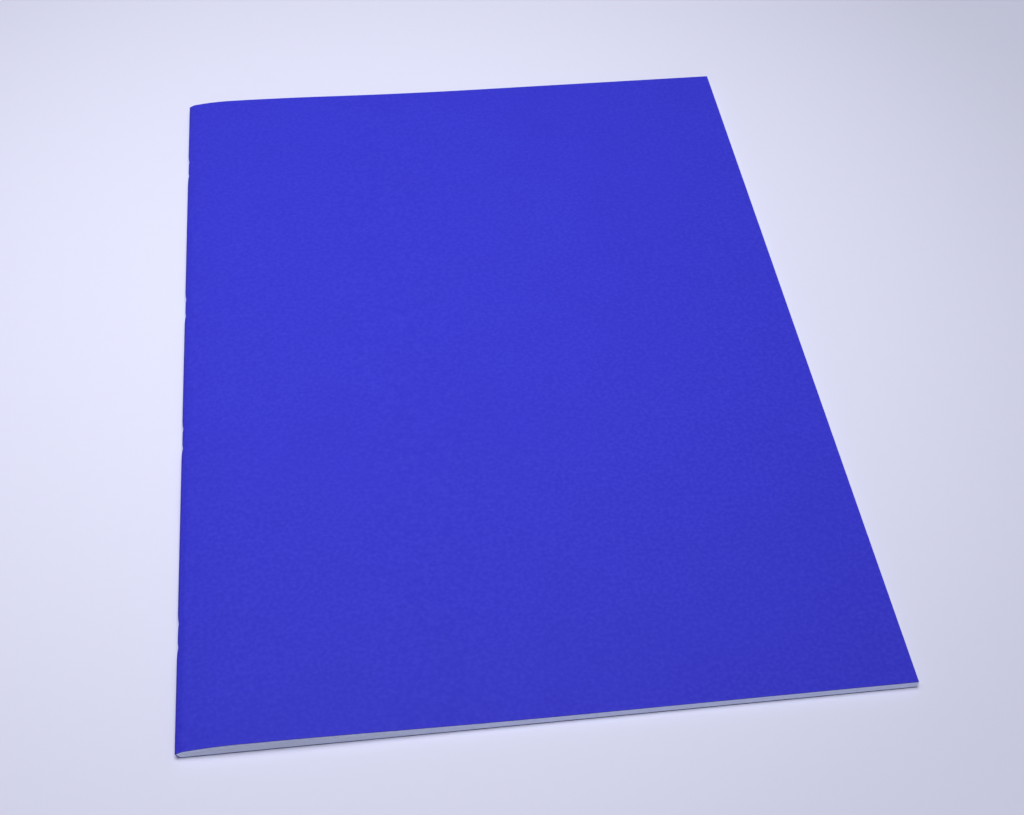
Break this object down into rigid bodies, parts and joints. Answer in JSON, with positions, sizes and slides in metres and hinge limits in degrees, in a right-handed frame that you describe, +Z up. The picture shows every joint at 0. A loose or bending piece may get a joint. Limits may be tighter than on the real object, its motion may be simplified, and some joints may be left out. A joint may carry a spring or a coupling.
{
  "type": "stapled exercise book",
  "caption": "Plain blue card-covered A4 exercise book: nested folded paper leaves wire-stapled through the fold, covers and leaves turning on the spine.",
  "frame": {"origin": "bottom centre of the closed book, on the table under its back cover", "axes": "+X from the spine to the fore edge, +Y from the tail to the head, +Z up out of the front cover"},
  "size_m": [0.21, 0.297, 0.0042],
  "materials": {
    "cover_card": "matte through-coloured blue card",
    "page_paper": "uncoated white writing paper",
    "staple_wire": "bright zinc-coated round wire"
  },
  "bodies": {
    "back_cover": {"back_cover": "cover_card"},
    "sheet_01_back_leaf": {"sheet_01_back_leaf": "page_paper"},
    "sheet_02_back_leaf": {"sheet_02_back_leaf": "page_paper"},
    "sheet_03_back_leaf": {"sheet_03_back_leaf": "page_paper"},
    "sheet_04_back_leaf": {"sheet_04_back_leaf": "page_paper"},
    "sheet_05_back_leaf": {"sheet_05_back_leaf": "page_paper"},
    "sheet_06_back_leaf": {"sheet_06_back_leaf": "page_paper"},
    "sheet_07_back_leaf": {"sheet_07_back_leaf": "page_paper"},
    "sheet_08_back_leaf": {"sheet_08_back_leaf": "page_paper"},
    "sheet_09_back_leaf": {"sheet_09_back_leaf": "page_paper"},
    "sheet_10_back_leaf": {"sheet_10_back_leaf": "page_paper"},
    "sheet_11_back_leaf": {"sheet_11_back_leaf": "page_paper"},
    "sheet_12_back_leaf": {"sheet_12_back_leaf": "page_paper", "staple_1": "staple_wire", "staple_2": "staple_wire", "staple_3": "staple_wire", "staple_4": "staple_wire"},
    "sheet_12_front_leaf": {"sheet_12_front_leaf": "page_paper"},
    "sheet_11_front_leaf": {"sheet_11_front_leaf": "page_paper"},
    "sheet_10_front_leaf": {"sheet_10_front_leaf": "page_paper"},
    "sheet_09_front_leaf": {"sheet_09_front_leaf": "page_paper"},
    "sheet_08_front_leaf": {"sheet_08_front_leaf": "page_paper"},
    "sheet_07_front_leaf": {"sheet_07_front_leaf": "page_paper"},
    "sheet_06_front_leaf": {"sheet_06_front_leaf": "page_paper"},
    "sheet_05_front_leaf": {"sheet_05_front_leaf": "page_paper"},
    "sheet_04_front_leaf": {"sheet_04_front_leaf": "page_paper"},
    "sheet_03_front_leaf": {"sheet_03_front_leaf": "page_paper"},
    "sheet_02_front_leaf": {"sheet_02_front_leaf": "page_paper"},
    "sheet_01_front_leaf": {"sheet_01_front_leaf": "page_paper"},
    "front_cover": {"front_cover": "cover_card"}
  },
  "joints": [
    {"name": "sheet_01_back_leaf_turn", "type": "hinge", "parent": "back_cover", "child": "sheet_01_back_leaf", "pos_m": [-0.105, 0, 0.00209], "axis": [0, -1, 0], "range_deg": [0, 180]},
    {"name": "sheet_02_back_leaf_turn", "type": "hinge", "parent": "sheet_01_back_leaf", "child": "sheet_02_back_leaf", "pos_m": [-0.105, 0, 0.00209], "axis": [0, -1, 0], "range_deg": [0, 180]},
    {"name": "sheet_03_back_leaf_turn", "type": "hinge", "parent": "sheet_02_back_leaf", "child": "sheet_03_back_leaf", "pos_m": [-0.105, 0, 0.00209], "axis": [0, -1, 0], "range_deg": [0, 180]},
    {"name": "sheet_04_back_leaf_turn", "type": "hinge", "parent": "sheet_03_back_leaf", "child": "sheet_04_back_leaf", "pos_m": [-0.105, 0, 0.00209], "axis": [0, -1, 0], "range_deg": [0, 180]},
    {"name": "sheet_05_back_leaf_turn", "type": "hinge", "parent": "sheet_04_back_leaf", "child": "sheet_05_back_leaf", "pos_m": [-0.105, 0, 0.00209], "axis": [0, -1, 0], "range_deg": [0, 180]},
    {"name": "sheet_06_back_leaf_turn", "type": "hinge", "parent": "sheet_05_back_leaf", "child": "sheet_06_back_leaf", "pos_m": [-0.105, 0, 0.00209], "axis": [0, -1, 0], "range_deg": [0, 180]},
    {"name": "sheet_07_back_leaf_turn", "type": "hinge", "parent": "sheet_06_back_leaf", "child": "sheet_07_back_leaf", "pos_m": [-0.105, 0, 0.00209], "axis": [0, -1, 0], "range_deg": [0, 180]},
    {"name": "sheet_08_back_leaf_turn", "type": "hinge", "parent": "sheet_07_back_leaf", "child": "sheet_08_back_leaf", "pos_m": [-0.105, 0, 0.00209], "axis": [0, -1, 0], "range_deg": [0, 180]},
    {"name": "sheet_09_back_leaf_turn", "type": "hinge", "parent": "sheet_08_back_leaf", "child": "sheet_09_back_leaf", "pos_m": [-0.105, 0, 0.00209], "axis": [0, -1, 0], "range_deg": [0, 180]},
    {"name": "sheet_10_back_leaf_turn", "type": "hinge", "parent": "sheet_09_back_leaf", "child": "sheet_10_back_leaf", "pos_m": [-0.105, 0, 0.00209], "axis": [0, -1, 0], "range_deg": [0, 180]},
    {"name": "sheet_11_back_leaf_turn", "type": "hinge", "parent": "sheet_10_back_leaf", "child": "sheet_11_back_leaf", "pos_m": [-0.105, 0, 0.00209], "axis": [0, -1, 0], "range_deg": [0, 180]},
    {"name": "sheet_12_back_leaf_turn", "type": "hinge", "parent": "sheet_11_back_leaf", "child": "sheet_12_back_leaf", "pos_m": [-0.105, 0, 0.00209], "axis": [0, -1, 0], "range_deg": [0, 180]},
    {"name": "sheet_12_front_leaf_turn", "type": "hinge", "parent": "sheet_12_back_leaf", "child": "sheet_12_front_leaf", "pos_m": [-0.105, 0, 0.00209], "axis": [0, -1, 0], "range_deg": [0, 180]},
    {"name": "sheet_11_front_leaf_turn", "type": "hinge", "parent": "sheet_12_front_leaf", "child": "sheet_11_front_leaf", "pos_m": [-0.105, 0, 0.00209], "axis": [0, -1, 0], "range_deg": [0, 180]},
    {"name": "sheet_10_front_leaf_turn", "type": "hinge", "parent": "sheet_11_front_leaf", "child": "sheet_10_front_leaf", "pos_m": [-0.105, 0, 0.00209], "axis": [0, -1, 0], "range_deg": [0, 180]},
    {"name": "sheet_09_front_leaf_turn", "type": "hinge", "parent": "sheet_10_front_leaf", "child": "sheet_09_front_leaf", "pos_m": [-0.105, 0, 0.00209], "axis": [0, -1, 0], "range_deg": [0, 180]},
    {"name": "sheet_08_front_leaf_turn", "type": "hinge", "parent": "sheet_09_front_leaf", "child": "sheet_08_front_leaf", "pos_m": [-0.105, 0, 0.00209], "axis": [0, -1, 0], "range_deg": [0, 180]},
    {"name": "sheet_07_front_leaf_turn", "type": "hinge", "parent": "sheet_08_front_leaf", "child": "sheet_07_front_leaf", "pos_m": [-0.105, 0, 0.00209], "axis": [0, -1, 0], "range_deg": [0, 180]},
    {"name": "sheet_06_front_leaf_turn", "type": "hinge", "parent": "sheet_07_front_leaf", "child": "sheet_06_front_leaf", "pos_m": [-0.105, 0, 0.00209], "axis": [0, -1, 0], "range_deg": [0, 180]},
    {"name": "sheet_05_front_leaf_turn", "type": "hinge", "parent": "sheet_06_front_leaf", "child": "sheet_05_front_leaf", "pos_m": [-0.105, 0, 0.00209], "axis": [0, -1, 0], "range_deg": [0, 180]},
    {"name": "sheet_04_front_leaf_turn", "type": "hinge", "parent": "sheet_05_front_leaf", "child": "sheet_04_front_leaf", "pos_m": [-0.105, 0, 0.00209], "axis": [0, -1, 0], "range_deg": [0, 180]},
    {"name": "sheet_03_front_leaf_turn", "type": "hinge", "parent": "sheet_04_front_leaf", "child": "sheet_03_front_leaf", "pos_m": [-0.105, 0, 0.00209], "axis": [0, -1, 0], "range_deg": [0, 180]},
    {"name": "sheet_02_front_leaf_turn", "type": "hinge", "parent": "sheet_03_front_leaf", "child": "sheet_02_front_leaf", "pos_m": [-0.105, 0, 0.00209], "axis": [0, -1, 0], "range_deg": [0, 180]},
    {"name": "sheet_01_front_leaf_turn", "type": "hinge", "parent": "sheet_02_front_leaf", "child": "sheet_01_front_leaf", "pos_m": [-0.105, 0, 0.00209], "axis": [0, -1, 0], "range_deg": [0, 180]},
    {"name": "front_cover_turn", "type": "hinge", "parent": "sheet_01_front_leaf", "child": "front_cover", "pos_m": [-0.105, 0, 0.00209], "axis": [0, -1, 0], "range_deg": [0, 180]}
  ]
}
